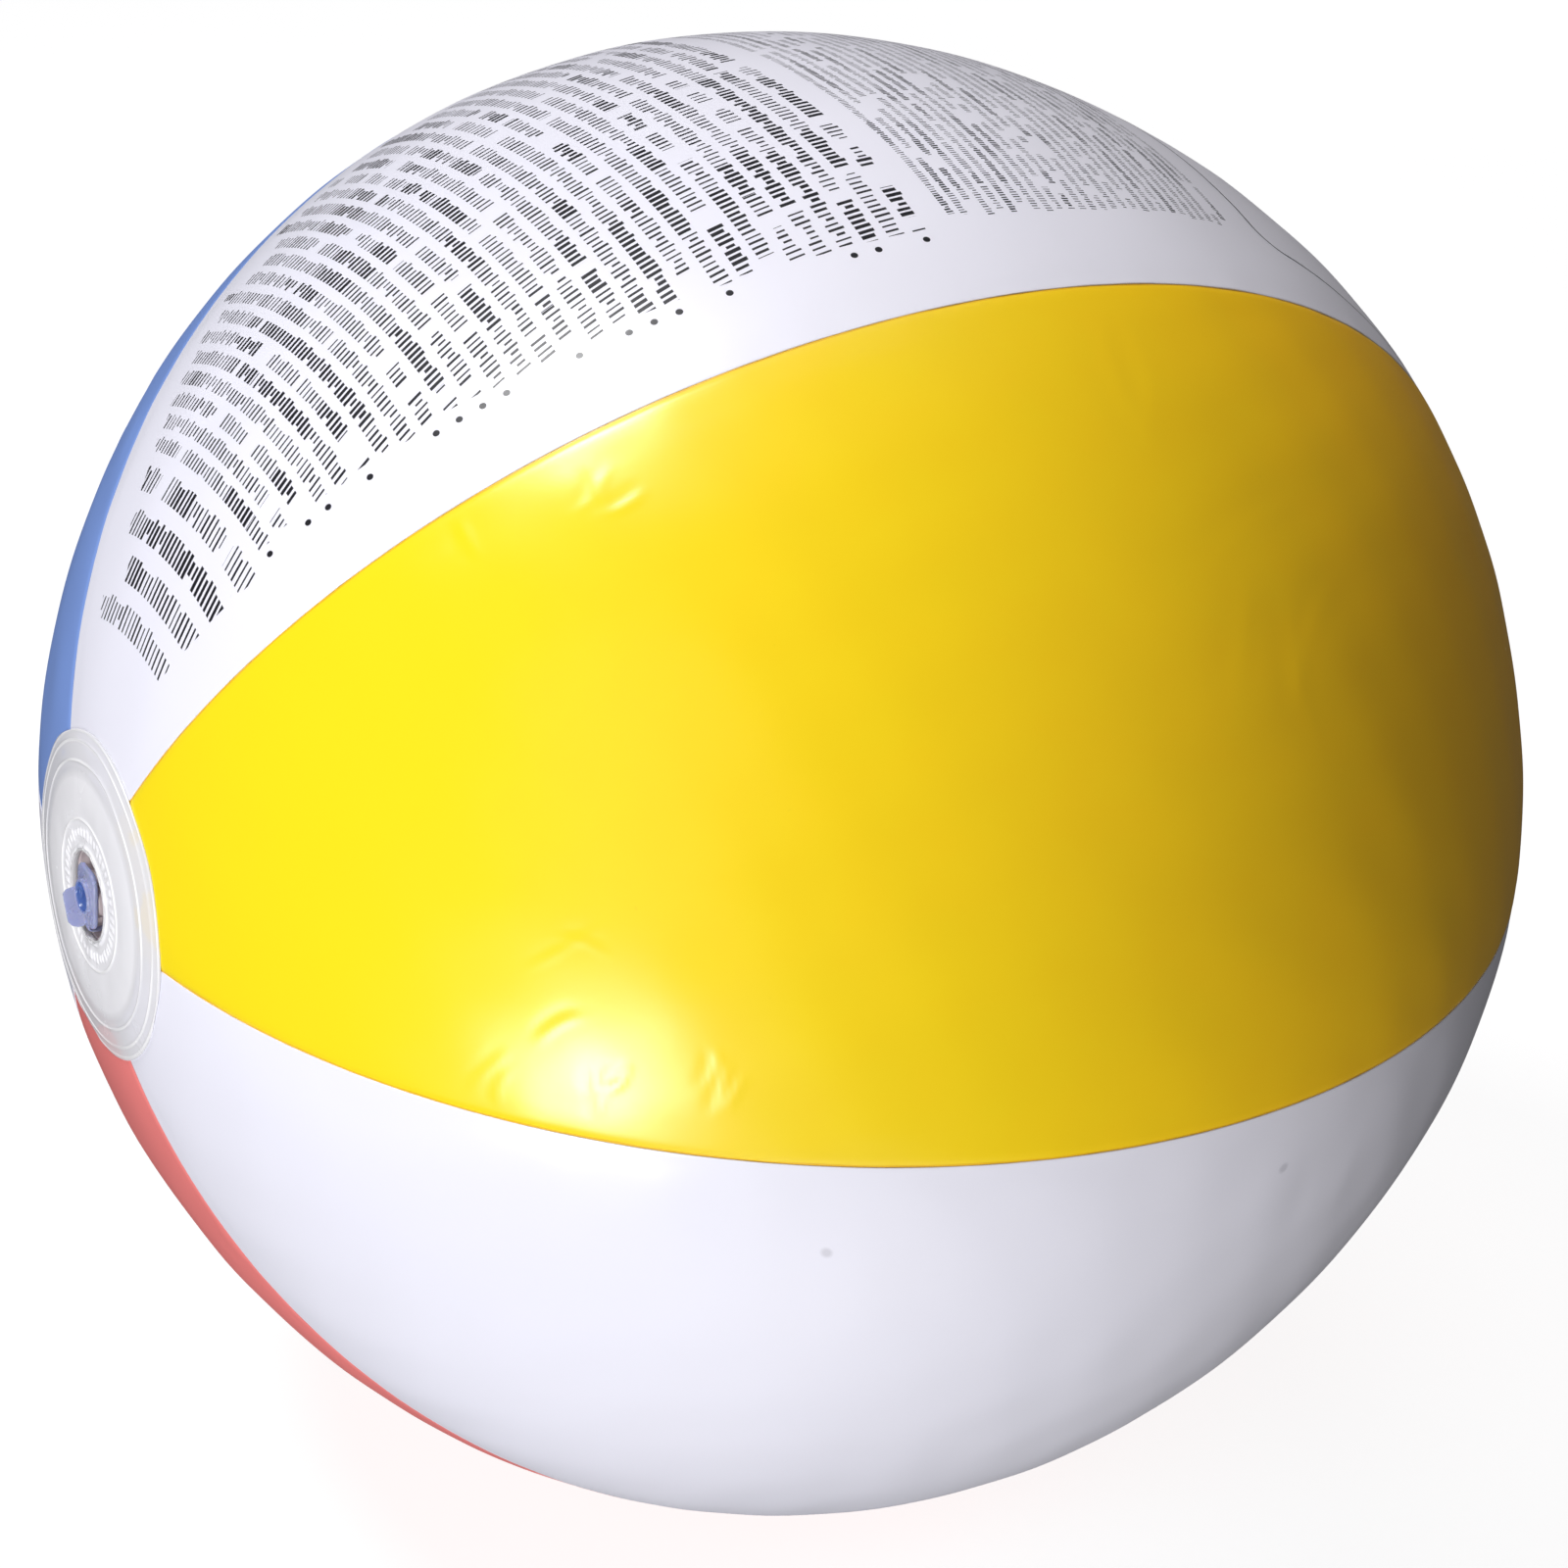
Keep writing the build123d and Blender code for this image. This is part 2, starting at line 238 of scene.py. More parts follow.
def panel(node, step):
    """One film panel with both faces and its lapped or lapping seam edges."""
    roll = ROLL[node]
    white = node in WHITE_PANELS
    length = float(along(np.array(TIP)))
    rows = INNER_STRIDE * int(length / step / INNER_STRIDE) + 1
    alpha = np.linspace(np.pi - TIP, TIP, rows)
    widest = 2 * MID_R * SEAM / MM
    edge = EDGE_COLUMNS if white else LAP_COLUMNS + EDGE_COLUMNS
    steps = int((widest / 2 - FIRST_FREE_COLUMN) * MM / step)
    steps += -(len(edge) + steps) % 2
    half = np.concatenate([edge, np.linspace(FIRST_FREE_COLUMN, widest / 2, steps + 1)]) / (widest / 2)
    across = np.concatenate([half - 1, (1 - half)[-2::-1]])
    A, V = np.meshgrid(alpha, across, indexing="ij")
    r = meridian(A)[1]
    half_width = r * SEAM
    widest_half = widest / 2 * MM
    from_edge = (1 - np.abs(V)) * widest_half
    fixed = EDGE_COLUMNS[-1] * MM
    shrink = np.maximum((half_width - fixed) / (widest_half - fixed), 0.02)
    seam = np.where(from_edge <= fixed, from_edge, fixed + (from_edge - fixed) * shrink)
    v = np.sign(V) * (half_width - seam)
    delta = v / r
    u = along(A)
    # Heights above the bare panel surface.
    rise = crease_height(node, u, v)
    fade = np.clip(np.abs(seam) / (8 * MM), 0, 1) ** 2
    rise += 0.10 * MM * fade * smooth_noise(u / 0.09, v / 0.09, 11 + roll)
    near = np.exp(-np.abs(seam) / (7 * MM))
    pucker = smooth_noise(u / 0.022, np.full(v.shape, 0.0 if white else 0.4), 31 + roll, 10, 0.6, 1.6)
    rise += 0.045 * MM * near * pucker
    if white:
        rise -= 0.05 * MM * np.clip(1 - np.abs(seam - 2.8 * MM) / (2.4 * MM), 0, 1) ** 0.5
        rise -= 0.10 * MM * np.exp(-seam / (0.25 * MM))
    else:
        # The coloured film dips under the white film's edge.
        rise -= (FILM + 0.06 * MM) * (1 / (1 + np.exp((seam - 0.9 * MM) / (0.38 * MM))))
    poles = np.clip((np.minimum(A, np.pi - A) - TIP) / math.radians(7), 0, 1)
    rise = rise * (0.12 + 0.88 * poles)
    skins = []
    for offset in (rise, rise - FILM * (0.98 if white else 0.9)):
        point = film_point(A, delta, offset)
        skins.append(to_world(point[..., 0], point[..., 1], point[..., 2], roll))
    outside, inside = skins
    if node == "panel_red":
        outside[..., 2] = np.maximum(outside[..., 2], 0)
        inside[..., 2] = np.maximum(inside[..., 2], FILM)
    n, m = A.shape
    inside = inside[::INNER_STRIDE, ::INNER_STRIDE]
    p, q = inside.shape[:2]
    verts = np.concatenate([outside.reshape(-1, 3), inside.reshape(-1, 3)])
    quads = [tuple(f) for f in grid_faces(n, m, 0, flip=True)]
    quads += [tuple(f) for f in grid_faces(p, q, n * m)]
    outer_rim, inner_rim = rim(n, m), [n * m + i for i in rim(p, q)]
    for i in range(len(inner_rim)):
        fine = [outer_rim[(INNER_STRIDE * i + j) % len(outer_rim)] for j in range(INNER_STRIDE + 1)]
        quads.append((*fine, inner_rim[(i + 1) % len(inner_rim)], inner_rim[i]))
    layers = {}
    for layer, pair in (("UVMap", (u, v)), ("Seam", (v / half_width * 0.5 + 0.5, seam * 10))):
        outer_uv = np.stack(pair, -1)
        inner_uv = outer_uv[::INNER_STRIDE, ::INNER_STRIDE]
        layers[layer] = np.concatenate([outer_uv.reshape(-1, 2), inner_uv.reshape(-1, 2)])
    obj = mesh_object(node.replace("panel_", "film_"), verts, quads, layers)
    recalc(obj)
    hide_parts(node)
    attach(obj, "ball")
    return obj


def recalc(obj):
    """Point every face outward."""
    bm = bmesh.new()
    bm.from_mesh(obj.data)
    bmesh.ops.recalc_face_normals(bm, faces=bm.faces)
    bm.to_mesh(obj.data)
    bm.free()


# ---------------------------------------------------------------- end discs
def disc_base(radius, roll):
    """Axial place of the panels' outer surface near a pole, and its normal's angle from the axis."""
    delta = (np.degrees(roll) + 30) % 60 - 30
    rc = radius / section_swell(np.radians(delta))
    blend_end = FLAT_R + BLEND_R * math.sin(JOIN)
    angle = np.where(
        rc < FLAT_R, 0,
        np.where(rc < blend_end, np.arcsin(np.clip((rc - FLAT_R) / BLEND_R, 0, 1)),
                 np.arcsin(np.clip((rc - MAIN_C) / MERIDIAN_R, 0, 1))),
    )
    curved = np.where(rc < blend_end, BLEND_X + BLEND_R * np.cos(angle), MERIDIAN_R * np.cos(angle))
    return np.where(rc < FLAT_R, HALF, curved), angle


def bump(value, middle, width):
    """A smooth hump of height 1."""
    return np.exp(-(((value - middle) / width) ** 2))


RING_LINE = 19.7
WELD_LINES = ((34.6, 0.26, 0.34), (39.5, 0.20, 0.26), (42.0, 0.16, 0.3))
DASHES = 44
DASH_R = 16.3


def end_disc(name, node, side, hole, segments, seed):
    """A welded end disc: milky film that follows the panel tips, with raised weld lines.

    WELD_LINES gives their radius, height and width in mm."""
    lines = ([RING_LINE] if hole else []) + [middle for middle, _, _ in WELD_LINES]
    rings = np.arange(WELL_R / MM if hole else 0.4, DISC_R / MM, 1.0)
    fine = [np.arange(c - 1.0, min(c + 1.0, 42.5), 0.2) for c in lines]
    if hole:
        fine += [np.arange(12.3, 14.0, 0.2), np.arange(14.4, 18.0, 0.25)]
    radii = np.unique(np.round(np.concatenate([rings, *fine, [DISC_R / MM]]), 3)) * MM
    roll = np.linspace(0, 2 * np.pi, segments, endpoint=False)
    Rr, P = np.meshgrid(radii, roll, indexing="ij")
    wobble = smooth_noise(np.cos(P) * 1.4, np.sin(P) * 1.4, seed, 8, 0.5, 1.4)
    Re = Rr + (0.35 * MM * wobble) * bump(Rr, DISC_R, 3 * MM)
    if hole:
        ragged = smooth_noise(np.cos(P) * 3, np.sin(P) * 3, seed + 3, 12, 0.8, 2.2)
        Re = Re - 0.22 * MM * np.abs(ragged) * bump(Rr, WELL_R, 0.5 * MM)
    x, angle = disc_base(Re, P)
    lift = np.full(Re.shape, 0.3 * MM)
    for middle, height, width in WELD_LINES:
        shift = 0.25 * MM * smooth_noise(np.cos(P), np.sin(P), seed + int(middle), 6, 0.5, 1.5)
        lift = lift + height * MM * bump(Re, middle * MM + shift, width * MM)
    waves = smooth_noise(Re * np.cos(P) / 0.03, Re * np.sin(P) / 0.03, seed + 9)
    lift = lift + 0.10 * MM * waves * np.clip(1 - Re / (33 * MM), 0, 1)
    if hole:
        lift = lift + 0.28 * MM * bump(Re, RING_LINE * MM, 0.36 * MM)
        uneven = 1 + 0.35 * smooth_noise(np.cos(P) * 2, np.sin(P) * 2, seed + 5, 8, 0.8, 2.2)
        lift = lift + 0.42 * MM * bump(Re, 12.7 * MM, 0.45 * MM) * uneven
        # A ring of plain moulded dashes of uneven length.
        turns = P / (2 * np.pi) * DASHES
        cell = np.floor(turns).astype(int) % DASHES
        rng = np.random.default_rng(seed)
        long = rng.uniform(0.35, 0.8, DASHES)[cell]
        wide = rng.uniform(0.7, 1.5, DASHES)[cell]
        dash = 1 / (1 + np.exp((np.abs(turns % 1 - 0.5) - long / 2) / 0.035))
        dash = dash / (1 + np.exp((np.abs(Re / MM - DASH_R) - wide) / 0.12))
        lift = lift + 0.26 * MM * dash
    px = side * (x + lift * np.cos(angle))
    pr = Re + lift * np.sin(angle)
    outer = np.stack([px, pr * np.sin(P), AXIS_Z + pr * np.cos(P)], -1)
    back = 0.02 * MM
    inner = np.stack([side * (x + back * np.cos(angle)), Re * np.sin(P), AXIS_Z + Re * np.cos(P)], -1)
    n, m = Rr.shape
    keep = list(range(0, n, 4)) + ([n - 1] if (n - 1) % 4 else [])
    inner = inner[keep]
    verts = [outer.reshape(-1, 3), inner.reshape(-1, 3)]
    faces = [grid_faces(n, m, 0, flip=side < 0, wrap=True)]
    faces.append(grid_faces(len(keep), m, n * m, flip=side > 0, wrap=True))
    j = np.arange(m)
    nxt = (j + 1) % m
    outer_edge, inner_edge = (n - 1) * m, (n + len(keep) - 1) * m
    faces.append(np.stack([outer_edge + j, outer_edge + nxt, inner_edge + nxt, inner_edge + j], -1))
    if hole:
        faces.append(np.stack([nxt, j, n * m + j, n * m + nxt], -1))
    share = P / (2 * np.pi)
    uv = [np.stack([pr, share], -1).reshape(-1, 2), np.stack([Rr, share], -1)[keep].reshape(-1, 2)]
    quads = [tuple(f) for f in np.concatenate(faces)]
    if not hole:
        quads += [tuple(range(m)), tuple(range(n * m + m - 1, n * m - 1, -1))]
    obj = mesh_object(name, np.concatenate(verts), quads, {"UVMap": np.concatenate(uv)})
    recalc(obj)
    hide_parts(node)
    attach(obj, "ball")
    return obj


# ---------------------------------------------------------------- valve parts
def valve_point(depth, y, z):
    """Row-frame point at a depth inside the disc's outer face, in mm."""
    return (depth * MM - FACE_X, y * MM, AXIS_Z + z * MM)


def lathe(name, profile, segments=160, ripple=None):
    """A closed profile of (depth, radius) in mm, turned about the valve's axis; ripple varies the radius."""
    prof = np.array(profile, float)
    roll = np.linspace(0, 2 * np.pi, segments, endpoint=False)
    S, P = np.meshgrid(prof[:, 0], roll, indexing="ij")
    Rr = np.meshgrid(prof[:, 1], roll, indexing="ij")[0]
    if ripple is not None:
        Rr = Rr + ripple(S, P)
    pts = np.stack([S * MM - FACE_X, Rr * MM * np.sin(P), AXIS_Z + Rr * MM * np.cos(P)], -1)
    n, m = S.shape
    loops = np.concatenate([np.arange(n), [0]])
    faces = []
    for a, b in zip(loops[:-1], loops[1:]):
        j = np.arange(m)
        faces.append(np.stack([a * m + j, a * m + (j + 1) % m, b * m + (j + 1) % m, b * m + j], -1))
    uv = np.stack([S * MM, P / (2 * np.pi)], -1).reshape(-1, 2)
    obj = mesh_object(name, pts.reshape(-1, 3), np.concatenate(faces), {"UVMap": uv})
    recalc(obj)
    return obj


def rounded(points, radius, steps=5):
    """A closed outline with its corners rounded, for lathe profiles."""
    pts = [np.array(p, float) for p in points]
    out = []
    for i, p in enumerate(pts):
        a, b = pts[i - 1], pts[(i + 1) % len(pts)]
        cut = min(radius, 0.45 * np.linalg.norm(a - p), 0.45 * np.linalg.norm(b - p))
        start = p + (a - p) / np.linalg.norm(a - p) * cut
        end = p + (b - p) / np.linalg.norm(b - p) * cut
        for t in np.linspace(0, 1, steps):
            out.append((1 - t) ** 2 * start + 2 * t * (1 - t) * p + t**2 * end)
    return out


def lip_ripple(depth, roll):
    """The flange's lip is a little ragged in front of the disc."""
    ragged = smooth_noise(np.cos(roll) * 3, np.sin(roll) * 3, 71, 8, 0.8, 2.0)
    return np.where(depth < 0.2, 0.12 * ragged - 0.1, 0)


def web_ripple(depth, roll):
    """Soft folds down the well, none at either end."""
    fade = np.clip((depth - 1.5) / 4, 0, 1) * np.clip((12.4 - depth) / 3, 0, 1)
    wave = 0.16 * np.sin(7 * roll + 0.4 * depth)
    return fade * (wave + 0.12 * smooth_noise(roll / 1.2, depth / 5, 43, 10, 0.4, 1.2)) - 0.06


def build_valve():
    """Flange, rolling web, stem, flap, stopper, collar and strap; every outline is (depth, radius) in mm."""
    made = {}
    lip_line = [
        (-0.5, 12.24), (-0.5, 11.62), (0.6, 11.6), (1.28, 11.9), (1.28, 19.6), (0.34, 19.6), (0.34, 12.24),
    ]
    lip = lathe("valve_flange_ring", rounded(lip_line, 0.22), ripple=lip_ripple)
    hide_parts("valve_flange")
    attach(lip, "ball")
    made["flange"] = lip

    # The web hangs down the well and turns in to the stem's shoulder.
    outer_line = [
        (1.30, 12.2), (3.0, 12.25), (6.0, 12.0), (9.0, 12.1), (11.2, 11.9), (12.5, 11.0), (12.98, 9.4),
        (12.98, 7.6), (12.98, 6.4),
    ]
    inner_line = [
        (12.5, 6.4), (12.48, 7.7), (12.40, 9.2), (11.9, 10.5), (10.9, 11.3), (9.0, 11.55), (6.0, 11.45),
        (3.0, 11.7), (1.30, 11.7),
    ]
    dense = []
    for line in (outer_line, inner_line):
        line = np.array(line)
        t = np.linspace(0, len(line) - 1, 34)
        dense.append(np.stack([np.interp(t, np.arange(len(line)), line[:, c]) for c in (0, 1)], -1))
    web = lathe("valve_web_soft", np.concatenate(dense), 220, ripple=web_ripple)
    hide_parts("valve_web")
    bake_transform(web)
    made["web"] = web

    stem_line = [
        (0.42, 6.0), (0.42, 4.02), (18.0, 4.02), (18.0, 6.0), (13.8, 6.0), (13.8, 9.0), (13.02, 9.0),
        (13.02, 6.0), (5.2, 6.0), (5.0, 5.8), (4.6, 5.8), (4.4, 6.0),
    ]
    stem = lathe("valve_stem_tube", rounded(stem_line, 0.3))
    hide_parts("valve_stem")
    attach(stem, "stem")
    made["stem"] = stem

    collar = lathe("tether_collar_ring", rounded([(11.0, 6.05), (11.0, 7.4), (12.4, 7.4), (12.4, 6.05)], 0.5))
    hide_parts("tether_collar")
    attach(collar, "stem")
    made["collar"] = collar

    made["flap"] = build_flap()
    made["stopper"] = build_stopper()
    made["strap"] = build_strap()
    return made


def build_flap():
    """A thin film disc cut straight along its hinge, slightly dished."""
    rings, turns = 14, 96
    flap_r, hinge_height, thickness = 5.55, 4.58, 0.34
    outline = []
    for t in np.linspace(0, 2 * np.pi, turns, endpoint=False):
        y, z = flap_r * math.sin(t), flap_r * math.cos(t)
        outline.append((y, min(z, hinge_height)))
    outline = np.array(outline)
    verts, uv = [], []
    for top in (1, 0):
        for k in np.linspace(1, 0.02, rings):
            for y, z in outline * k:
                dish = 0.10 * (1 - k**2)
                depth = 18.03 + (thickness + dish if top else dish * 0.6)
                verts.append(valve_point(depth, y, z))
                uv.append((y * MM, z * MM))
    m = turns
    faces = [grid_faces(rings, m, 0, wrap=True), grid_faces(rings, m, rings * m, flip=True, wrap=True)]
    j = np.arange(m)
    faces.append(np.stack([j, (j + 1) % m, rings * m + (j + 1) % m, rings * m + j], -1))
    quads = [tuple(f) for f in np.concatenate(faces)]
    quads += [tuple((rings - 1) * m + j), tuple((2 * rings - 1) * m + j[::-1])]
    obj = mesh_object("check_flap_film", verts, quads, {"UVMap": uv})
    recalc(obj)
    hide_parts("check_flap")
    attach(obj, "flap")
    return obj


def rounded_slab(width, height, corner, depths, swell, hole):
    """Ring loops of a rounded-rectangle slab with a round hole, in order round its section, in mm."""
    loops = []
    for depth, grow in zip(depths, swell):
        loop = []
        w, h, c = width / 2 + grow, height / 2 + grow, corner + grow
        corners = ((w - c, h - c), (-(w - c), h - c), (-(w - c), -(h - c)), (w - c, -(h - c)))
        for quarter, (cy, cz) in enumerate(corners):
            for a in np.linspace(90 * quarter, 90 * quarter + 90, 9):
                loop.append((depth, cy + c * math.cos(math.radians(a)), cz + c * math.sin(math.radians(a))))
        loops.append(loop)
    for depth in (depths[-1], depths[0]):
        scales = [hole / math.hypot(y, z) for _, y, z in loops[0]]
        loops.append([(depth, y * scale, z * scale) for (_, y, z), scale in zip(loops[0], scales)])
    return loops + [loops[0]]


def loops_to_mesh(bm, loops):
    """Skin a stack of equal loops; close both ends unless the last loop is the first again."""
    closed = loops[0] == loops[-1]
    rows = [[bm.verts.new(valve_point(*p)) for p in loop] for loop in (loops[:-1] if closed else loops)]
    if closed:
        rows.append(rows[0])
    for a, b in zip(rows[:-1], rows[1:]):
        for i in range(len(a)):
            k = (i + 1) % len(a)
            bm.faces.new((a[i], a[k], b[k], b[i]))
    if not closed:
        bm.faces.new(rows[0][::-1])
        bm.faces.new(rows[-1])


def circle_loops(profile, turns=64):
    """Round loops from a profile of (depth, radius) in mm."""
    angles = np.linspace(0, 2 * np.pi, turns, endpoint=False)
    return [[(d, r * math.cos(t), r * math.sin(t)) for t in angles] for d, r in profile]


def build_stopper():
    """Shaft, seat plate, low dished knob and folded grip tab, fused into one soft moulding."""
    bm = bmesh.new()
    shaft_and_knob = [
        (8.4, 2.6), (8.35, 2.95), (7.4, 3.93), (2.0, 3.95), (0.2, 3.95), (-0.7, 4.7), (-1.7, 4.75),
        (-2.1, 4.45), (-2.2, 4.1), (-2.05, 3.75), (-1.2, 3.45), (0.0, 3.2), (0.7, 2.6), (1.0, 1.4),
        (1.05, 0.4),
    ]
    loops_to_mesh(bm, circle_loops(shaft_and_knob))
    plate_depths = [0.40, 0.36, 0.05, -0.55, -0.90, -1.0]
    plate_swell = [-0.5, -0.15, 0.1, 0.1, -0.15, -0.5]
    loops_to_mesh(bm, rounded_slab(12.0, 15.6, 3.4, plate_depths, plate_swell, 3.6))
    # The grip tab crosses the plate's lower corner, stands outward and leans away from the knob.
    roll = math.radians(123)
    out, low = (math.sin(roll), math.cos(roll)), (math.cos(roll), -math.sin(roll))
    half_tab = 0.55
    path = [(-0.3, 5.0), (-1.0, 5.25), (-1.9, 5.5), (-3.0, 5.65), (-4.1, 5.85), (-4.9, 6.1)]
    starts = [-3.4, -3.4, -3.2, -3.1, -2.8, -2.0]
    ends = [6.2, 6.9, 7.2, 7.1, 6.6, 5.4]
    tab = []
    for i, ((d, reach), first, last) in enumerate(zip(path, starts, ends)):
        a, b = path[max(i - 1, 0)], path[min(i + 1, len(path) - 1)]
        scale = math.hypot(b[0] - a[0], b[1] - a[1])
        nd, nr = -(b[1] - a[1]) / scale * half_tab, (b[0] - a[0]) / scale * half_tab
        loop = []
        for side in (1, -1):
            for t in np.linspace(first, last, 17)[::side]:
                sag = 0.045 * (t - 2.0) ** 2
                w = reach - sag * 0.5 + side * nr
                loop.append((d + side * nd, out[0] * w + low[0] * t, out[1] * w + low[1] * t))
        tab.append(loop)
    loops_to_mesh(bm, tab)
    bmesh.ops.recalc_face_normals(bm, faces=bm.faces)
    mesh = bpy.data.meshes.new("stopper_moulding")
    bm.to_mesh(mesh)
    bm.free()
    obj = bpy.data.objects.new("stopper_moulding", mesh)
    bpy.context.scene.collection.objects.link(obj)
    remesh = obj.modifiers.new("fuse", "REMESH")
    remesh.mode = "VOXEL"
    remesh.voxel_size = 0.18 * MM
    remesh.use_smooth_shade = True
    relax = obj.modifiers.new("relax", "SMOOTH")
    relax.factor = 0.5
    relax.iterations = 5
    apply_modifiers(obj)
    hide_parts("stopper")
    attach(obj, "plug")
    return obj


def apply_modifiers(obj):
    """Turn a piece's modifiers into plain mesh."""
    dg = bpy.context.evaluated_depsgraph_get()
    mesh = bpy.data.meshes.new_from_object(obj.evaluated_get(dg))
    obj.modifiers.clear()
    obj.data = mesh
    mesh.polygons.foreach_set("use_smooth", [True] * len(mesh.polygons))


def build_strap():
    """A soft flat strap from the seat plate, over the recess, down to the collar."""
    points = [
        (-0.35, -7.3), (-0.45, -8.2), (-0.35, -9.2), (0.4, -9.95), (2.0, -10.2), (5.0, -9.9), (8.0, -9.7),
        (10.3, -9.2), (11.5, -8.2), (11.7, -7.2),
    ]
    last = 69
    fine = np.linspace(0, len(points) - 1, last + 1)
    line = np.stack([np.interp(fine, np.arange(len(points)), np.array(points)[:, c]) for c in (0, 1)], -1)
    for _ in range(12):
        line[1:-1] = (line[:-2] + 2 * line[1:-1] + line[2:]) / 4
    tangent = np.gradient(line, axis=0)
    tangent /= np.linalg.norm(tangent, axis=1)[:, None]
    normal = np.stack([-tangent[:, 1], tangent[:, 0]], -1)
    section = [(math.cos(a), math.sin(a)) for a in np.linspace(0, 2 * np.pi, 24, endpoint=False)]
    verts, uv = [], []
    for i, (p, n) in enumerate(zip(line, normal)):
        half = 1.35 - 0.35 * math.sin(math.pi * i / last)
        for c, s in section:
            y = half * math.copysign(abs(c) ** 0.5, c)
            h = 0.36 * math.copysign(abs(s) ** 0.8, s)
            verts.append(valve_point(p[0] + n[0] * h, y, p[1] + n[1] * h))
            uv.append((i / last, math.atan2(s, c) / (2 * math.pi)))
    rows, cols = len(line), len(section)
    quads = [tuple(f) for f in grid_faces(rows, cols, wrap=True)]
    quads += [tuple(range(cols)), tuple(range((rows - 1) * cols, rows * cols))[::-1]]
    obj = mesh_object("tether_strap_soft", verts, quads, {"UVMap": uv})
    recalc(obj)
    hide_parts("tether_strap")
    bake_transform(obj)
    return obj


# ---------------------------------------------------------------- materials
class Nodes:
    """Short helpers to write a node tree."""

    def __init__(self, name):
        self.mat = bpy.data.materials.new(name)
        self.mat.use_nodes = True
        self.tree = self.mat.node_tree
        self.tree.nodes.clear()
        self.out = self.tree.nodes.new("ShaderNodeOutputMaterial")
        self.shader = self.tree.nodes.new("ShaderNodeBsdfPrincipled")
        self.tree.links.new(self.shader.outputs[0], self.out.inputs[0])

    def link(self, value, socket):
        if isinstance(value, bpy.types.NodeSocket):
            self.tree.links.new(value, socket)
        elif value is not None:
            socket.default_value = value

    def math(self, op, a, b=None, c=None, clamp=False):
        n = self.tree.nodes.new("ShaderNodeMath")
        n.operation = op
        n.use_clamp = clamp
        for value, socket in zip((a, b, c), n.inputs):
            self.link(value, socket)
        return n.outputs[0]

    def noise(self, vector, scale, detail=3.0, rough=0.5, distortion=0.0):
        n = self.tree.nodes.new("ShaderNodeTexNoise")
        self.link(vector, n.inputs["Vector"])
        n.inputs["Scale"].default_value = scale
        n.inputs["Detail"].default_value = detail
        n.inputs["Roughness"].default_value = rough
        n.inputs["Distortion"].default_value = distortion
        return n.outputs[0]

    def white(self, x, y):
        n = self.tree.nodes.new("ShaderNodeTexWhiteNoise")
        n.noise_dimensions = "2D"
        self.link(self.combine(x, y, 0.0), n.inputs["Vector"])
        return n.outputs[0]

    def combine(self, x, y, z):
        n = self.tree.nodes.new("ShaderNodeCombineXYZ")
        for value, socket in zip((x, y, z), n.inputs):
            self.link(value, socket)
        return n.outputs[0]

    def remap(self, value, a, b, c=0.0, d=1.0):
        n = self.tree.nodes.new("ShaderNodeMapRange")
        for v, socket in zip((value, a, b, c, d), n.inputs):
            self.link(v, socket)
        return n.outputs[0]

    def mix(self, factor, a, b):
        n = self.tree.nodes.new("ShaderNodeMix")
        n.data_type = "RGBA"
        self.link(factor, n.inputs[0])
        for value, socket in ((a, n.inputs[6]), (b, n.inputs[7])):
            self.link((*value, 1.0) if isinstance(value, tuple) and len(value) == 3 else value, socket)
        return n.outputs[2]

    def uv(self, layer):
        n = self.tree.nodes.new("ShaderNodeUVMap")
        n.uv_map = layer
        s = self.tree.nodes.new("ShaderNodeSeparateXYZ")
        self.link(n.outputs[0], s.inputs[0])
        return s.outputs[0], s.outputs[1]

    def object_coords(self):
        return self.tree.nodes.new("ShaderNodeTexCoord").outputs["Object"]

    def axis_x(self, vector):
        n = self.tree.nodes.new("ShaderNodeSeparateXYZ")
        self.link(vector, n.inputs[0])
        return n.outputs[0]

    def off_axis(self, vector):
        """Distance from the valve's axis."""
        n = self.tree.nodes.new("ShaderNodeSeparateXYZ")
        self.link(vector, n.inputs[0])
        return self.reach(n.outputs[1], self.math("SUBTRACT", n.outputs[2], AXIS_Z))

    def square_sum(self, a, b):
        return self.math("ADD", self.math("MULTIPLY", a, a), self.math("MULTIPLY", b, b))

    def reach(self, a, b):
        """Length of the vector (a, b)."""
        return self.math("SQRT", self.square_sum(a, b))

    def largest(self, first, *rest):
        for value in rest:
            first = self.math("MAXIMUM", first, value)
        return first

    def bump(self, height, strength, distance, normal=None):
        n = self.tree.nodes.new("ShaderNodeBump")
        self.link(height, n.inputs["Height"])
        n.inputs["Strength"].default_value = strength
        n.inputs["Distance"].default_value = distance
        self.link(normal, n.inputs["Normal"])
        return n.outputs[0]

    def set(self, **values):
        for key, value in values.items():
            self.link(value, self.shader.inputs[key.replace("_", " ")])
        return self.mat


def band(k, value, low, high, soft):
    """1 where value lies between low and high, with soft edges."""
    rise = k.remap(value, low - soft, low + soft)
    fall = k.remap(value, high - soft, high + soft, 1.0, 0.0)
    return k.math("MULTIPLY", rise, fall)


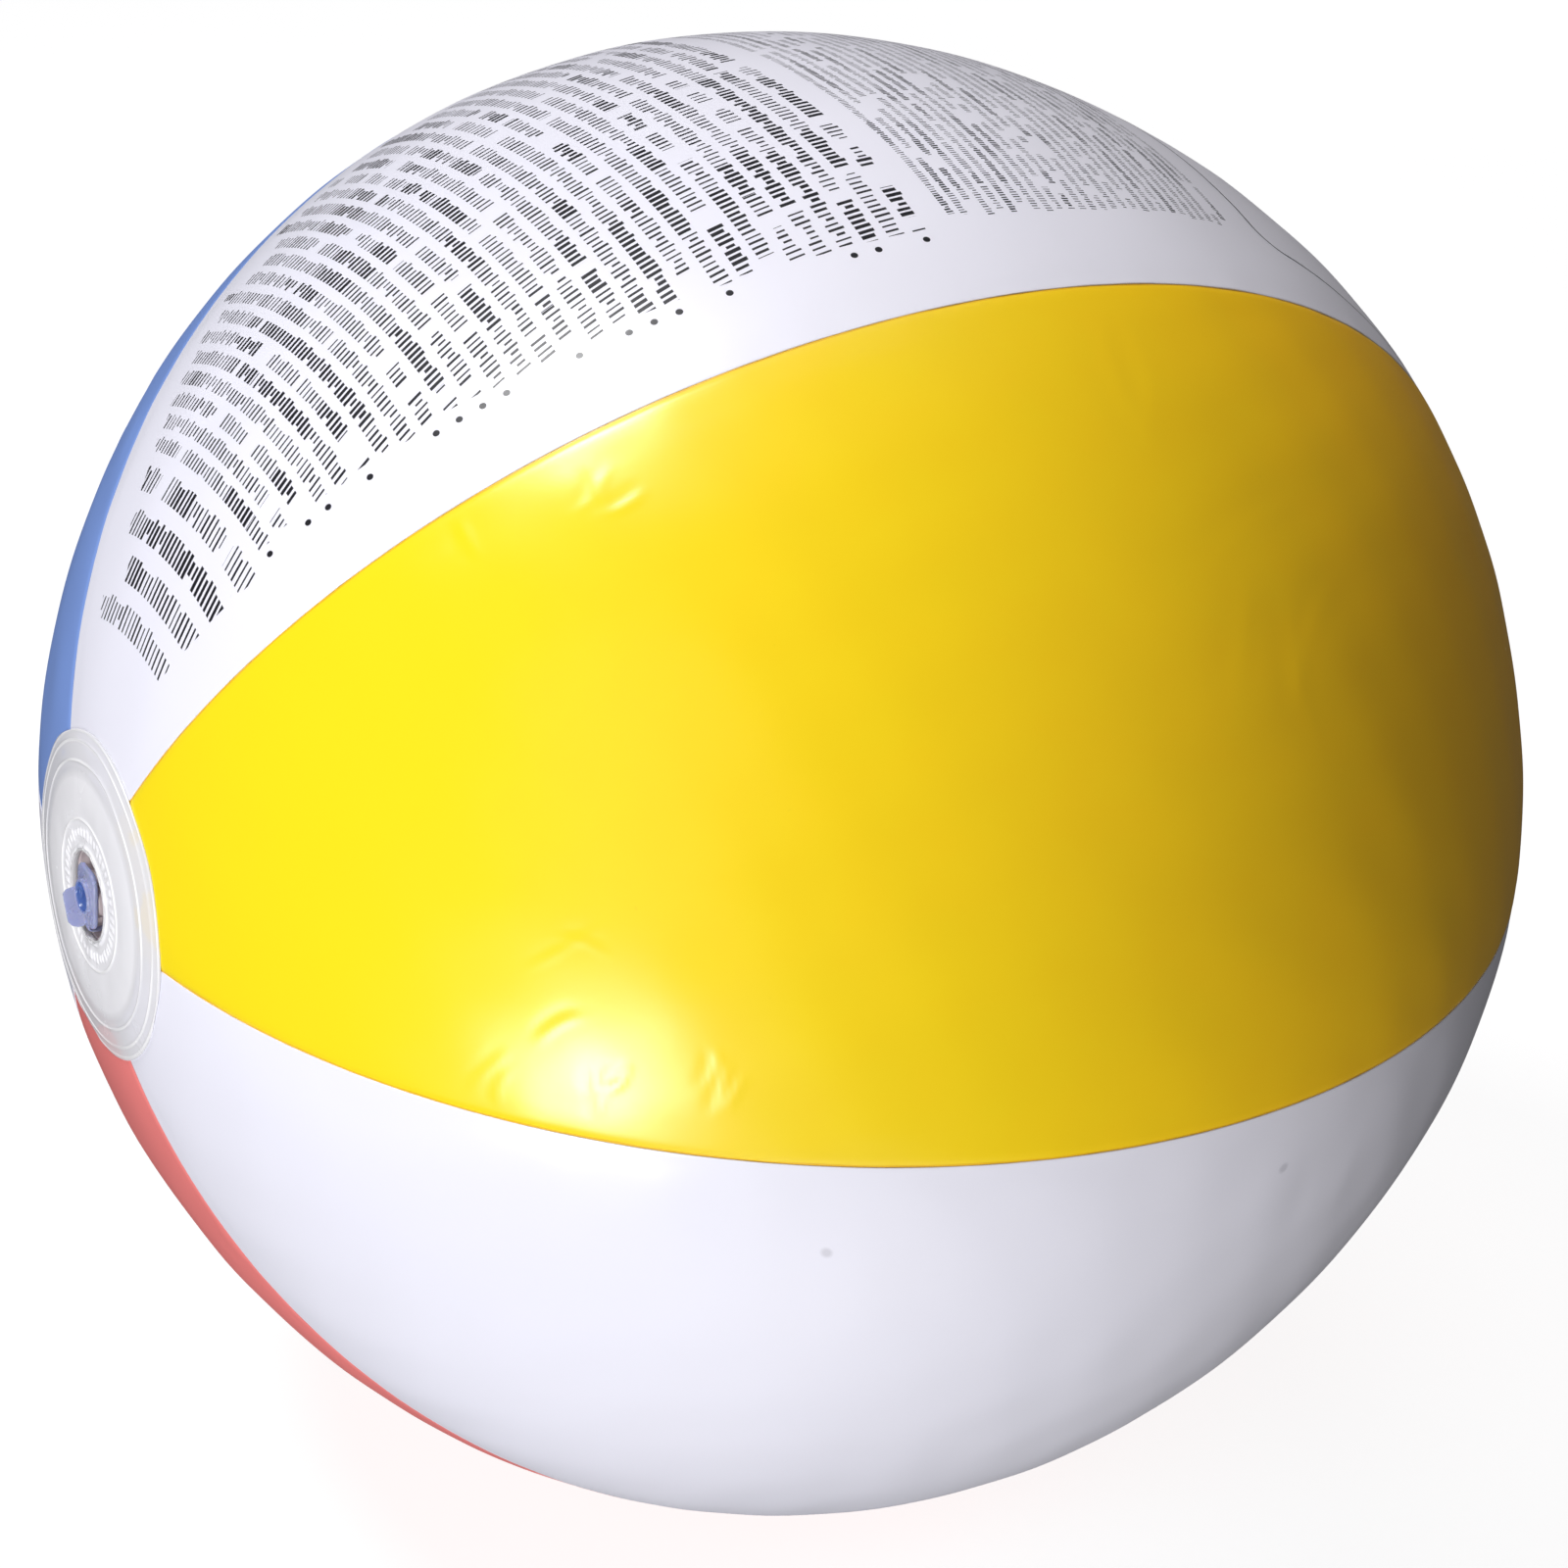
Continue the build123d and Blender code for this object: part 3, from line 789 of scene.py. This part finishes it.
def print_rows(k, u, v, seam, first, last, pitch, tick, margin, tail, fill, seed, dots):
    """Rows of plain upright ticks grouped in word lengths, with round dots: print that says nothing.

    margin and tail are how far from each seam the rows start and stop."""
    t = k.math("DIVIDE", k.math("SUBTRACT", u, first), pitch)
    row = k.math("FLOOR", t)
    part = k.math("FRACT", t)
    zone = band(k, u, first, last, 0.02 * MM)
    left, right = k.math("LESS_THAN", v, 0.0), k.math("GREATER_THAN", v, 0.0)
    start = k.math("MULTIPLY_ADD", k.white(row, seed + 4.0), 0.0015, margin)
    stop = k.math("MULTIPLY_ADD", k.white(row, seed + 9.0), tail[1], tail[0])
    ends = k.math("MULTIPLY", k.math("MAXIMUM", right, k.math("GREATER_THAN", seam, start)),
                  k.math("MAXIMUM", left, k.math("GREATER_THAN", seam, stop)))
    w = k.math("DIVIDE", k.math("ADD", v, 1.0), tick)
    cell = k.math("FLOOR", w)
    inside = k.math("FRACT", w)
    pick = k.white(k.math("ADD", cell, seed), k.math("MULTIPLY", row, 7.13))
    pick2 = k.white(k.math("ADD", cell, seed + 51.7), k.math("MULTIPLY", row, 3.31))
    weight_place = k.combine(k.math("MULTIPLY", v, 34.0), k.math("MULTIPLY", row, 5.3), seed + 2.0)
    weight = k.noise(weight_place, 1.0, 0.0)
    bold = k.math("GREATER_THAN", weight, 0.58)
    thick = k.math("ADD", k.remap(pick, 0.0, 1.0, 0.26, 0.46), k.math("MULTIPLY", bold, 0.22))
    ink = k.math("LESS_THAN", inside, thick)
    top = k.remap(pick2, 0.55, 0.60, 0.5 + 0.34 * fill, 0.5 + 0.5 * fill)
    foot = k.remap(pick2, 0.12, 0.16, 0.5 - 0.2 * fill, 0.5 - 0.5 * fill)
    tall = k.math("MULTIPLY", k.math("GREATER_THAN", part, foot), k.math("LESS_THAN", part, top))
    shape = k.math("MULTIPLY", ink, tall)
    word = k.noise(k.combine(k.math("MULTIPLY", v, 120.0), k.math("MULTIPLY", row, 9.7), seed), 1.0, 0.0)
    shape = k.math("MULTIPLY", k.math("MULTIPLY", shape, k.math("GREATER_THAN", word, 0.34)), ends)
    if dots:
        dot_r = 0.9 * MM
        dv = k.math("DIVIDE", k.math("SUBTRACT", seam, margin - 2.6 * MM), dot_r)
        du = k.math("MULTIPLY", k.math("SUBTRACT", part, 0.5), pitch / dot_r)
        chosen = k.math("GREATER_THAN", k.white(row, seed + 6.0), 0.45)
        dot = k.math("MULTIPLY", k.math("LESS_THAN", k.square_sum(dv, du), 1.0), chosen)
        shape = k.math("MAXIMUM", shape, k.math("MULTIPLY", dot, left))
    return k.math("MULTIPLY", shape, zone)


def print_frame(k, u, v, middle_u, middle_v, half_u, half_v, corner, line):
    """A plain rounded outline box."""
    past = []
    for value, middle, half in ((u, middle_u, half_u), (v, middle_v, half_v)):
        away = k.math("ABSOLUTE", k.math("SUBTRACT", value, middle))
        past.append(k.math("MAXIMUM", k.math("SUBTRACT", away, half - corner), 0.0))
    return k.math("LESS_THAN", k.math("ABSOLUTE", k.math("SUBTRACT", k.reach(*past), corner)), line)


# First and last row, row pitch and tick pitch in mm, the margin at the yellow side's seam and the least and
# added margin at the other side, all in mm, then the rows' fill, their noise seed and whether they have dots.
PRINT_BLOCKS = (
    (37.0, 81.5, 11.1, 2.1, 16.0, (6.0, 22.0), 0.60, 11.0, False),
    (82.0, 264.6, 6.3, 1.9, 23.0, (8.0, 12.0), 0.66, 37.0, True),
    (270.0, 362.0, 3.4, 0.9, 25.0, (12.0, 10.0), 0.56, 83.0, False),
)
INK = (0.016, 0.016, 0.02)


def print_ink(k, u, v, seam):
    """All the print on the top panel: three blocks of rows and an outline box."""
    marks = []
    for first, last, pitch, tick, margin, tail, fill, seed, dots in PRINT_BLOCKS:
        far = (tail[0] * MM, tail[1] * MM)
        marks.append(print_rows(
            k, u, v, seam, first * MM, last * MM, pitch * MM, tick * MM, margin * MM, far, fill, seed, dots))
    marks.append(print_frame(k, u, v, 408 * MM, -30 * MM, 34 * MM, 42 * MM, 8 * MM, 0.4 * MM))
    return k.largest(*marks)


def film_material(name, colour, mottle_and_shade_colour, line, printed=False, spots=()):
    """Glossy vinyl film: faint mottling, painted shade toward +X, a thin seam line that is partly painted
    shade, print, orange-peel gloss and handling marks.
    """
    k = Nodes(name)
    here = k.object_coords()
    u, v = k.uv("UVMap")
    seam = k.uv("Seam")[1]
    blotch = k.noise(here, 7.0, 4.0, 0.55)
    grain = k.noise(here, 90.0, 2.0, 0.5)
    mottle_and_shade_mix = k.math("ADD", k.math("MULTIPLY", blotch, 0.20), k.math("MULTIPLY", grain, 0.06))
    # Painted shade: besides the random mottling, the colour slides along +X toward the second colour, for the
    # side away from the lamps.
    mottle_and_shade_mix = k.math("ADD", mottle_and_shade_mix, k.math("MULTIPLY", k.axis_x(here), 1.6))
    base = k.mix(k.remap(mottle_and_shade_mix, -0.10, 0.40), colour, mottle_and_shade_colour)
    # A thin darker line along the coloured side of each seam: partly the ink's edge, partly painted shade in
    # the groove under the white film's edge.
    if line is not None:
        wide = k.remap(k.noise(k.combine(u, 0.0, 0.0), 60.0, 1.0), 0.3, 0.7, 0.0040, 0.0075)
        seam_ink_and_shade_mask = k.math("LESS_THAN", seam, wide)
        base = k.mix(k.math("MULTIPLY", seam_ink_and_shade_mask, 0.85), base, line)
    if printed:
        base = k.mix(print_ink(k, u, v, k.math("MULTIPLY", seam, 0.1)), base, INK)
    for spot_u, spot_v in spots:
        away = k.reach(k.math("SUBTRACT", u, spot_u), k.math("SUBTRACT", v, spot_v))
        base = k.mix(k.remap(away, 0.0008, 0.0018, 0.45, 0.0), base, (0.45, 0.44, 0.50))
    dust = k.noise(here, 420.0, 2.0, 0.6)
    specks = k.remap(dust, 0.76, 0.82, 0.0, 0.12)
    base = k.mix(specks, base, tuple(c * 0.6 for c in colour))
    smear = k.noise(here, 14.0, 3.0, 0.5)
    rough = k.remap(smear, 0.2, 0.8, 0.27, 0.34)
    peel = k.noise(here, 240.0, 2.0, 0.5)
    waves = k.noise(here, 34.0, 2.0, 0.4)
    normal = k.bump(peel, 0.05, 0.0002)
    normal = k.bump(waves, 0.08, 0.0008, normal)
    return k.set(Base_Color=base, Roughness=rough, Normal=normal, IOR=1.5, Specular_IOR_Level=0.75)


def milky_material(name):
    """Cloudy film over the panel tips: you see through it at the weld band, less in the middle."""
    k = Nodes(name)
    here = k.object_coords()
    radius = k.uv("UVMap")[0]
    cloud = k.noise(here, 26.0, 4.0, 0.6)
    base = k.mix(cloud, (0.92, 0.92, 0.97), (0.96, 0.96, 0.99))
    marks = []
    for middle in (34.6, 39.5, 42.1, RING_LINE):
        away = k.math("ABSOLUTE", k.math("SUBTRACT", radius, middle * MM))
        marks.append(k.remap(away, 0.18 * MM, 0.5 * MM, 1.0, 0.0))
    lines = k.largest(*marks)
    opaque = k.remap(radius, 30.0 * MM, 32.5 * MM, 0.985, 0.70)
    alpha = k.math("ADD", opaque, k.math("MULTIPLY", lines, 0.2), clamp=True)
    alpha = k.math("ADD", alpha, k.math("MULTIPLY", k.math("SUBTRACT", cloud, 0.5), 0.12), clamp=True)
    base = k.mix(lines, base, (0.98, 0.98, 1.0))
    rough = k.remap(k.noise(here, 60.0, 3.0), 0.35, 0.65, 0.16, 0.28)
    normal = k.bump(k.noise(here, 300.0, 3.0), 0.10, 0.0002)
    return k.set(Base_Color=base, Roughness=rough, Normal=normal, Alpha=alpha, IOR=1.5,
                 Coat_Weight=0.2, Coat_Roughness=0.1)


def clear_material(name, tint, rough_low, rough_high, through):
    """Soft clear vinyl with cloudy streaks."""
    k = Nodes(name)
    here = k.object_coords()
    streak = k.noise(here, 120.0, 3.0, 0.6, 0.8)
    base = k.mix(streak, tint, tuple(min(1.0, c * 1.12) for c in tint))
    rough = k.remap(k.noise(here, 260.0, 3.0), 0.35, 0.65, rough_low, rough_high)
    normal = k.bump(k.noise(here, 380.0, 3.0), 0.2, 0.0003)
    return k.set(Base_Color=base, Roughness=rough, Normal=normal, Transmission_Weight=through, IOR=1.48,
                 Coat_Weight=0.5, Coat_Roughness=0.06)


def blue_vinyl(name):
    """Translucent blue moulding: deeper blue across the knob's dish within 3.6 mm of the valve's axis,
    blending to a paler blue by 4.6 mm.
    """
    k = Nodes(name)
    here = k.object_coords()
    streak = k.noise(here, 180.0, 3.0, 0.6, 0.5)
    pale = k.mix(streak, (0.38, 0.42, 0.68), (0.50, 0.52, 0.76))
    dish = k.remap(k.off_axis(here), 0.0036, 0.0046)
    base = k.mix(dish, (0.10, 0.19, 0.54), pale)
    rough = k.remap(k.noise(here, 420.0, 3.0), 0.35, 0.65, 0.18, 0.30)
    normal = k.bump(k.noise(here, 700.0, 3.0), 0.15, 0.0002)
    return k.set(Base_Color=base, Roughness=rough, Normal=normal, Transmission_Weight=0.30, IOR=1.48,
                 Subsurface_Weight=0.25, Subsurface_Radius=(0.2, 0.4, 1.0), Subsurface_Scale=0.002)


def dress(obj, material):
    """Give a piece its one material."""
    obj.data.materials.clear()
    obj.data.materials.append(material)


# ---------------------------------------------------------------- build
COARSE = 2.4 * MM
FINE = 1.2 * MM
panels = {node: panel(node, FINE if node == "panel_yellow" else COARSE) for node in ROLL}
valve_disc = end_disc("valve_disc_film", "valve_disc", -1, True, 480, 5)
far_disc = end_disc("far_disc_film", "far_disc", 1, False, 240, 8)
valve = build_valve()

# Each film: its colour, its colour in painted shade toward +X (also the far end of the random mottling), and
# its seam line colour, which is partly painted shade.
WHITE = ((0.85, 0.85, 0.95), (0.84, 0.82, 0.88), None)
white = film_material("white_film", *WHITE, spots=((0.195, 0.070), (0.315, 0.085)))
print_white = film_material("printed_white_film", *WHITE, printed=True)
yellow = film_material("yellow_film", (0.94, 0.73, 0.008), (1.0, 0.50, 0.001), (0.84, 0.47, 0.012))
red = film_material("red_film", (0.96, 0.25, 0.24), (0.90, 0.20, 0.19), (0.50, 0.04, 0.04))
blue = film_material("blue_film", (0.22, 0.36, 0.80), (0.17, 0.29, 0.72), (0.05, 0.10, 0.40))
milky = milky_material("milky_film")
# Painted shade: the clear vinyl's brownish-grey tint stands for the dark inside of the ball seen through the
# web in the well. It is made lighter to make up for the little light that reaches it.
clear = clear_material("clear_vinyl", (0.76, 0.66, 0.68), 0.06, 0.16, 0.30)
lip_clear = clear_material("flange_vinyl", (0.90, 0.90, 0.94), 0.12, 0.24, 0.3)
stopper_blue = blue_vinyl("blue_vinyl")

for node, material, slot in (
    ("panel_white_top", print_white, "white_film"), ("panel_white_back", white, "white_film"),
    ("panel_white_front", white, "white_film"), ("panel_yellow", yellow, "yellow_film"),
    ("panel_red", red, "red_film"), ("panel_blue", blue, "blue_film"),
):
    dress(panels[node], material)
dress(valve_disc, milky)
dress(far_disc, milky)
dress(valve["flange"], lip_clear)
for part in ("web", "stem", "flap"):
    dress(valve[part], clear)
for part in ("stopper", "collar", "strap"):
    dress(valve[part], stopper_blue)

# ---------------------------------------------------------------- floor, light and camera
CENTRE = Vector((0, 0, AXIS_Z))
AZIMUTH = math.radians(-31.4)
ELEVATION = math.radians(26.3)
CAMERA_ROLL = math.radians(5.0)
DISTANCE = 1.0377
FOCAL_LENGTH = 85.9

level = math.cos(ELEVATION)
back = Vector((math.sin(AZIMUTH) * level, -math.cos(AZIMUTH) * level, math.sin(ELEVATION)))
level_right = back.cross(Vector((0, 0, -1))).normalized()
level_up = back.cross(level_right).normalized()
right = level_right * math.cos(CAMERA_ROLL) + level_up * math.sin(CAMERA_ROLL)
up = level_up * math.cos(CAMERA_ROLL) - level_right * math.sin(CAMERA_ROLL)

camera_data = bpy.data.cameras.new("camera")
camera = bpy.data.objects.new("camera", camera_data)
bpy.context.scene.collection.objects.link(camera)
camera.matrix_world = Matrix((
    (right.x, up.x, back.x, 0), (right.y, up.y, back.y, 0), (right.z, up.z, back.z, 0), (0, 0, 0, 1)))
camera.location = CENTRE + back * DISTANCE
camera_data.sensor_width = 36
camera_data.lens = FOCAL_LENGTH
camera_data.shift_x = 0.0014
camera_data.shift_y = -0.0079
camera_data.clip_start, camera_data.clip_end = 0.01, 60
bpy.context.scene.camera = camera


def softbox(name, direction, distance, size, power, colour=(1, 1, 1)):
    """A round area light aimed at the ball; direction is along the camera's right, up and back axes."""
    data = bpy.data.lights.new(name, "AREA")
    data.shape = "DISK"
    data.size = size
    data.energy = power
    data.color = colour
    lamp = bpy.data.objects.new(name, data)
    bpy.context.scene.collection.objects.link(lamp)
    way = (right * direction[0] + up * direction[1] + back * direction[2]).normalized()
    lamp.location = CENTRE + way * distance
    lamp.rotation_mode = "QUATERNION"
    lamp.rotation_quaternion = way.to_track_quat("Z", "Y")
    return lamp


softbox("softbox_high", (-0.42, 0.76, 0.49), 1.8, 0.46, 18)
softbox("softbox_low", (-0.40, -0.63, 0.66), 1.8, 0.36, 15)
for name, direction, power, colour in (
    ("fill_front", (-0.35, 0.0, 0.94), 20, (1.0, 0.97, 0.98)),
    ("fill_top", (0.0, 1.0, 0.2), 15, (1.0, 0.98, 1.0)),
    ("fill_below", (0.0, -1.0, 0.2), 18, (0.98, 0.98, 1.0)),
    ("fill_back", (0.3, 0.3, -1.0), 25, (1.0, 1.0, 1.0)),
):
    softbox(name, direction, 2.5, 1.6, power, colour).visible_glossy = False

world = bpy.data.worlds.new("studio")
world.use_nodes = True
wt = world.node_tree
# Seen directly, the world is a pale backdrop; it lights the ball softly and shows dimly in its gloss.
wt.nodes["Background"].inputs[0].default_value = (0.97, 0.98, 1.0, 1)
dimmer = wt.nodes.new("ShaderNodeMapRange")
dimmer.inputs["To Min"].default_value = 0.13
dimmer.inputs["To Max"].default_value = 0.05
backdrop = wt.nodes.new("ShaderNodeBackground")
backdrop.inputs[0].default_value = (0.97, 0.97, 0.97, 1)
seen = wt.nodes.new("ShaderNodeLightPath")
wt.links.new(seen.outputs["Is Glossy Ray"], dimmer.inputs["Value"])
wt.links.new(dimmer.outputs["Result"], wt.nodes["Background"].inputs[1])
choose = wt.nodes.new("ShaderNodeMixShader")
wt.links.new(seen.outputs["Is Camera Ray"], choose.inputs[0])
wt.links.new(wt.nodes["Background"].outputs[0], choose.inputs[1])
wt.links.new(backdrop.outputs[0], choose.inputs[2])
wt.links.new(choose.outputs[0], wt.nodes["World Output"].inputs[0])
bpy.context.scene.world = world
bpy.context.scene.view_settings.view_transform = "Standard"

floor_mesh = bpy.data.meshes.new("floor")
floor_mesh.from_pydata([(-6, -6, 0), (6, -6, 0), (6, 6, 0), (-6, 6, 0)], [], [(0, 1, 2, 3)])
floor = bpy.data.objects.new("floor", floor_mesh)
bpy.context.scene.collection.objects.link(floor)
k = Nodes("floor")
pale = k.mix(k.noise(k.object_coords(), 3.0, 2.0), (0.20, 0.20, 0.20), (0.22, 0.22, 0.22))
floor_mesh.materials.append(k.set(
    Base_Color=pale, Roughness=0.9, Emission_Color=(1.0, 1.0, 1.0, 1.0), Emission_Strength=0.88))
floor.visible_shadow = False
floor.visible_glossy = False
floor.visible_diffuse = False
